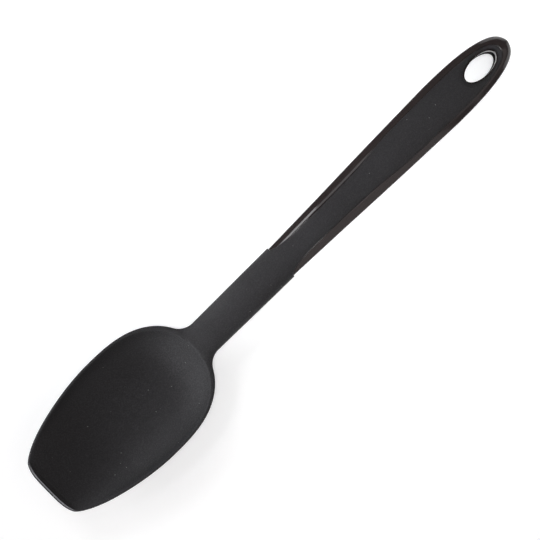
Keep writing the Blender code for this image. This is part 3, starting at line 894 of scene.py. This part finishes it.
STEEL_DARK = (0.5, 0.5, 0.51)
STEEL_PALE = (0.6, 0.6, 0.61)
STEEL_GRAIN = (900.0, 3.0, 0.5)
STEEL_STRETCH = (0.04, 1.0, 1.0)
STEEL_ROUGHNESS = (0.3, 0.42)

SPECULAR = 0.5
MIDDLE_OF_NOISE = (0.35, 0.65)
MOST_OF_NOISE = (0.3, 0.7)
NONE_TO_ALL = (0.0, 1.0)

# The Mix node's colour sockets, which share their names with its other kinds
MIX_COLOURS = (6, 7)
MIX_RESULT = 2


class Nodes:
    """A material's node tree, with short calls to add and join nodes."""

    def __init__(self, name):
        self.material = bpy.data.materials.new(name)
        self.material.use_nodes = True
        self.tree = self.material.node_tree
        self.shader = self.tree.nodes["Principled BSDF"]

    def add(self, kind, **values):
        node = self.tree.nodes.new(kind)
        for key, value in values.items():
            if key in node.inputs:
                node.inputs[key].default_value = value
            else:
                setattr(node, key, value)
        return node

    def join(self, source, output, target, socket):
        self.tree.links.new(source.outputs[output], target.inputs[socket])

    def coordinates(self):
        return self.tree.nodes.get("Texture Coordinate") or self.add("ShaderNodeTexCoord")

    def noise(self, form):
        scale, detail, roughness = form
        node = self.add("ShaderNodeTexNoise", Scale=scale, Detail=detail, Roughness=roughness)
        self.join(self.coordinates(), "Object", node, "Vector")
        return node

    def ramp(self, source, output, sources, values):
        """A value that goes from one to the other of values as the source goes through sources."""
        node = self.add("ShaderNodeMapRange")
        ends = zip(("From Min", "From Max", "To Min", "To Max"), (*sources, *values))
        for socket, value in ends:
            node.inputs[socket].default_value = value
        self.join(source, output, node, "Value")
        return node

    def mix(self, factor, first, second):
        """A colour between two colours, by a ramp."""
        node = self.add("ShaderNodeMix", data_type="RGBA")
        for socket, colour in zip(MIX_COLOURS, (first, second)):
            if isinstance(colour, tuple):
                node.inputs[socket].default_value = (*colour, 1.0)
            else:
                self.join(colour, MIX_RESULT, node, socket)
        self.join(factor, "Result", node, 0)
        return node

    def toned(self, texture, sources, dark, pale):
        """A colour that goes from dark to pale by a texture."""
        return self.mix(self.ramp(texture, "Fac", sources, NONE_TO_ALL), dark, pale)

    def paint(self, colour):
        self.join(colour, MIX_RESULT, self.shader, "Base Color")

    def fix(self, **values):
        """Fixed values on the shader's sockets, with _ for a space in a socket's name."""
        for key, value in values.items():
            self.shader.inputs[key.replace("_", " ")].default_value = value


def silicone_material():
    nodes = Nodes("matt_silicone")
    shader = nodes.shader
    grain = nodes.noise(SILICONE_GRAIN)
    cloud = nodes.noise(SILICONE_CLOUD)
    base = nodes.toned(cloud, MIDDLE_OF_NOISE, SILICONE_DARK, SILICONE_PALE)
    speckle = nodes.ramp(grain, "Fac", SPECKLE_FROM, (0.0, SPECKLE_STRENGTH))
    grained = nodes.mix(speckle, base, SILICONE_SPECKLE)
    cells = nodes.add("ShaderNodeTexVoronoi", Scale=DUST_SCALE)
    nodes.join(nodes.coordinates(), "Object", cells, "Vector")
    dust = nodes.ramp(cells, "Distance", DUST_RADII, (DUST_STRENGTH, 0.0))
    nodes.paint(nodes.mix(dust, grained, DUST_COLOUR))
    rough = nodes.ramp(grain, "Fac", MIDDLE_OF_NOISE, SILICONE_ROUGHNESS)
    shine = nodes.add("ShaderNodeAttribute", attribute_name="shine")
    dulled = nodes.ramp(shine, "Fac", NONE_TO_ALL, (1.0, SHINE_ROUGHNESS))
    product = nodes.add("ShaderNodeMath", operation="MULTIPLY")
    nodes.join(rough, "Result", product, 0)
    nodes.join(dulled, "Result", product, 1)
    nodes.join(product, "Value", shader, "Roughness")
    bump = nodes.add("ShaderNodeBump", Distance=GRAIN_DEPTH)
    strength = nodes.ramp(shine, "Fac", NONE_TO_ALL, (GRAIN_STRENGTH, SHINE_GRAIN_STRENGTH))
    nodes.join(strength, "Result", bump, "Strength")
    nodes.join(grain, "Fac", bump, "Height")
    nodes.join(bump, "Normal", shader, "Normal")
    nodes.fix(Specular_IOR_Level=SPECULAR, Specular_Tint=(*SILICONE_TINT, 1.0))
    return nodes.material


def gloss_material():
    nodes = Nodes("gloss_plastic")
    shader = nodes.shader
    cloud = nodes.noise(GLOSS_CLOUD)
    nodes.paint(nodes.toned(cloud, MIDDLE_OF_NOISE, GLOSS_DARK, GLOSS_PALE))
    scuffs = nodes.noise(GLOSS_SCUFFS)
    rough = nodes.ramp(scuffs, "Fac", SCUFFS_FROM, GLOSS_ROUGHNESS)
    nodes.join(rough, "Result", shader, "Roughness")
    wave = nodes.noise(GLOSS_WAVE)
    bump = nodes.add("ShaderNodeBump", Strength=WAVE_STRENGTH, Distance=WAVE_DEPTH)
    nodes.join(wave, "Fac", bump, "Height")
    nodes.join(bump, "Normal", shader, "Normal")
    nodes.fix(Specular_IOR_Level=SPECULAR)
    return nodes.material


# The hang hole's near-black dull sheet is painted shade, not a part of the spoon
def painted_hole_shade_material():
    nodes = Nodes("painted_hole_shade")
    cloud = nodes.noise(HOLE_SHADE_CLOUD)
    nodes.paint(nodes.toned(cloud, MIDDLE_OF_NOISE, HOLE_SHADE_DARK, HOLE_SHADE_PALE))
    nodes.fix(Roughness=HOLE_SHADE_ROUGHNESS, Specular_IOR_Level=HOLE_SHADE_SPECULAR)
    return nodes.material


def steel_material():
    """Pressed steel, with its grain drawn out along the core."""
    nodes = Nodes("pressed_steel")
    nodes.fix(Metallic=1.0)
    grain = nodes.noise(STEEL_GRAIN)
    stretch = nodes.add("ShaderNodeMapping", Scale=STEEL_STRETCH)
    nodes.join(nodes.coordinates(), "Object", stretch, "Vector")
    nodes.join(stretch, "Vector", grain, "Vector")
    nodes.paint(nodes.toned(grain, MOST_OF_NOISE, STEEL_DARK, STEEL_PALE))
    rough = nodes.ramp(grain, "Fac", MOST_OF_NOISE, STEEL_ROUGHNESS)
    nodes.join(rough, "Result", nodes.shader, "Roughness")
    return nodes.material


# Table, light and camera


FLOOR_COLOUR = (0.8, 0.8, 0.8)
FLOOR_GLOW = 0.34
FLOOR_SIZE = 6.0

WORLD_STRENGTH = 0.2
COOL = (0.96, 0.98, 1.0)
WARM = (1.0, 0.93, 0.91)

# Softboxes. Turn is a lamp's direction in the picture, counted from the right, and rise is its
# elevation. Spread is the angle that a grid on the lamp lets through. All three are in degrees.
# Brightness is the radiance of the lamp's face.
LOW_SOFTBOX = dict(rise=12, distance=1.0, size=(0.7, 0.3))
SOFTBOXES = {
    "left_softbox": dict(turn=180, brightness=11.2, **LOW_SOFTBOX),
    "bowl_softbox": dict(turn=225, brightness=9.2, **LOW_SOFTBOX),
    "near_softbox": dict(turn=270, brightness=2.2, **LOW_SOFTBOX),
    "front_panel": dict(
        turn=10, rise=33, distance=1.0, size=(0.8, 0.7), brightness=0.45, colour=WARM
    ),
    "side_panel": dict(
        turn=315, rise=34, distance=0.8, size=(0.8, 0.65), brightness=0.57, colour=WARM
    ),
    "handle_softbox": dict(
        turn=0, rise=90, distance=0.75, size=(0.3, 0.3), brightness=0.6, target=(0.085, 0, 0),
        spread=24,
    ),
    "neck_softbox": dict(
        turn=150, rise=55, distance=0.7, size=(0.2, 0.2), brightness=0.14,
        target=(-0.005, 0, 0.02), spread=16,
    ),
    "streak_softbox": dict(
        turn=138, rise=35, distance=0.7, size=(0.34, 0.17), brightness=5.8, target=(0.02, 0, 0.02)
    ),
    "fading_softbox": dict(
        turn=112, rise=38, distance=0.7, size=(0.16, 0.13), brightness=1.45, target=(0.02, 0, 0.02)
    ),
}

# The photo is taken from straight above, with the spoon's axis at this angle in the picture
CAMERA_HEIGHT = 0.600
CAMERA_PLACE = (-0.0044, 0.00097)
SPOON_ANGLE = math.radians(44.46)
PICTURE_WIDTH = 0.2468
SENSOR = 36.0

PICTURE_RIGHT = Vector((math.cos(SPOON_ANGLE), -math.sin(SPOON_ANGLE), 0))
PICTURE_UP = Vector((math.sin(SPOON_ANGLE), math.cos(SPOON_ANGLE), 0))
UP = Vector((0, 0, 1))


def floor_material():
    """A pale matt table. To the camera, and in gloss, it glows a little, so that it shows white."""
    nodes = Nodes("pale_table")
    tree = nodes.tree
    tree.nodes.remove(nodes.shader)
    rays = nodes.add("ShaderNodeLightPath")
    seen = nodes.add("ShaderNodeMath", operation="MAXIMUM")
    nodes.join(rays, "Is Camera Ray", seen, 0)
    nodes.join(rays, "Is Glossy Ray", seen, 1)
    seen_all = nodes.add("ShaderNodeMath", operation="MAXIMUM")
    nodes.join(seen, "Value", seen_all, 0)
    nodes.join(rays, "Is Transmission Ray", seen_all, 1)
    glow = nodes.add("ShaderNodeMath", operation="MULTIPLY")
    nodes.join(seen_all, "Value", glow, 0)
    glow.inputs[1].default_value = FLOOR_GLOW
    emission = nodes.add("ShaderNodeEmission")
    nodes.join(glow, "Value", emission, "Strength")
    diffuse = nodes.add("ShaderNodeBsdfDiffuse", Color=(*FLOOR_COLOUR, 1.0))
    total = nodes.add("ShaderNodeAddShader")
    nodes.join(diffuse, "BSDF", total, 0)
    nodes.join(emission, "Emission", total, 1)
    nodes.join(total, "Shader", tree.nodes["Material Output"], "Surface")
    return nodes.material


def add_floor():
    mesh = bpy.data.meshes.new("table")
    bm = bmesh.new()
    bmesh.ops.create_grid(bm, x_segments=1, y_segments=1, size=FLOOR_SIZE / 2)
    bm.to_mesh(mesh)
    bm.free()
    mesh.materials.append(floor_material())
    floor = bpy.data.objects.new("table", mesh)
    bpy.context.scene.collection.objects.link(floor)


def add_softbox(
    name, turn, rise, distance, size, brightness, target=(0, 0, 0), spread=180, colour=COOL
):
    """An area lamp aimed at a target, and not seen by the camera itself."""
    lamp = bpy.data.lights.new(name, "AREA")
    lamp.shape = "RECTANGLE"
    lamp.size, lamp.size_y = size
    lamp.energy = brightness * math.pi * size[0] * size[1]
    lamp.spread = math.radians(spread)
    lamp.color = colour
    turn, rise = math.radians(turn), math.radians(rise)
    level = PICTURE_RIGHT * math.cos(turn) + PICTURE_UP * math.sin(turn)
    way = level * math.cos(rise) + UP * math.sin(rise)
    obj = bpy.data.objects.new(name, lamp)
    obj.location = Vector(target) + way * distance
    obj.rotation_euler = (-way).to_track_quat("-Z", "Y").to_euler()
    obj.visible_camera = False
    bpy.context.scene.collection.objects.link(obj)


def add_world():
    world = bpy.data.worlds.new("dim_studio")
    world.use_nodes = True
    background = world.node_tree.nodes["Background"]
    background.inputs["Color"].default_value = (*WARM, 1.0)
    background.inputs["Strength"].default_value = WORLD_STRENGTH
    bpy.context.scene.world = world


def add_light():
    add_world()
    for name, values in SOFTBOXES.items():
        add_softbox(name, **values)


def add_camera():
    camera = bpy.data.cameras.new("camera")
    camera.sensor_width = SENSOR
    camera.lens = SENSOR * CAMERA_HEIGHT / PICTURE_WIDTH
    obj = bpy.data.objects.new("camera", camera)
    obj.location = (*CAMERA_PLACE, CAMERA_HEIGHT)
    obj.rotation_euler = (0, 0, -SPOON_ANGLE)
    bpy.context.scene.collection.objects.link(obj)
    bpy.context.scene.camera = obj


def main():
    bpy.context.scene.view_settings.view_transform = "Standard"
    skin = add_skin(silicone_material())
    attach(skin, "root")
    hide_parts("silicone_skin")
    shell = add_shell(gloss_material())
    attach(shell, "root")
    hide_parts("handle_shell")
    # Painted shade: a near-black dull sheet on the hang hole's lower wall
    shade_sheet = add_painted_hole_shade(painted_hole_shade_material())
    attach(shade_sheet, "root")
    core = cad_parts["steel_core"]
    core.data.materials.clear()
    core.data.materials.append(steel_material())
    add_floor()
    add_light()
    add_camera()


main()
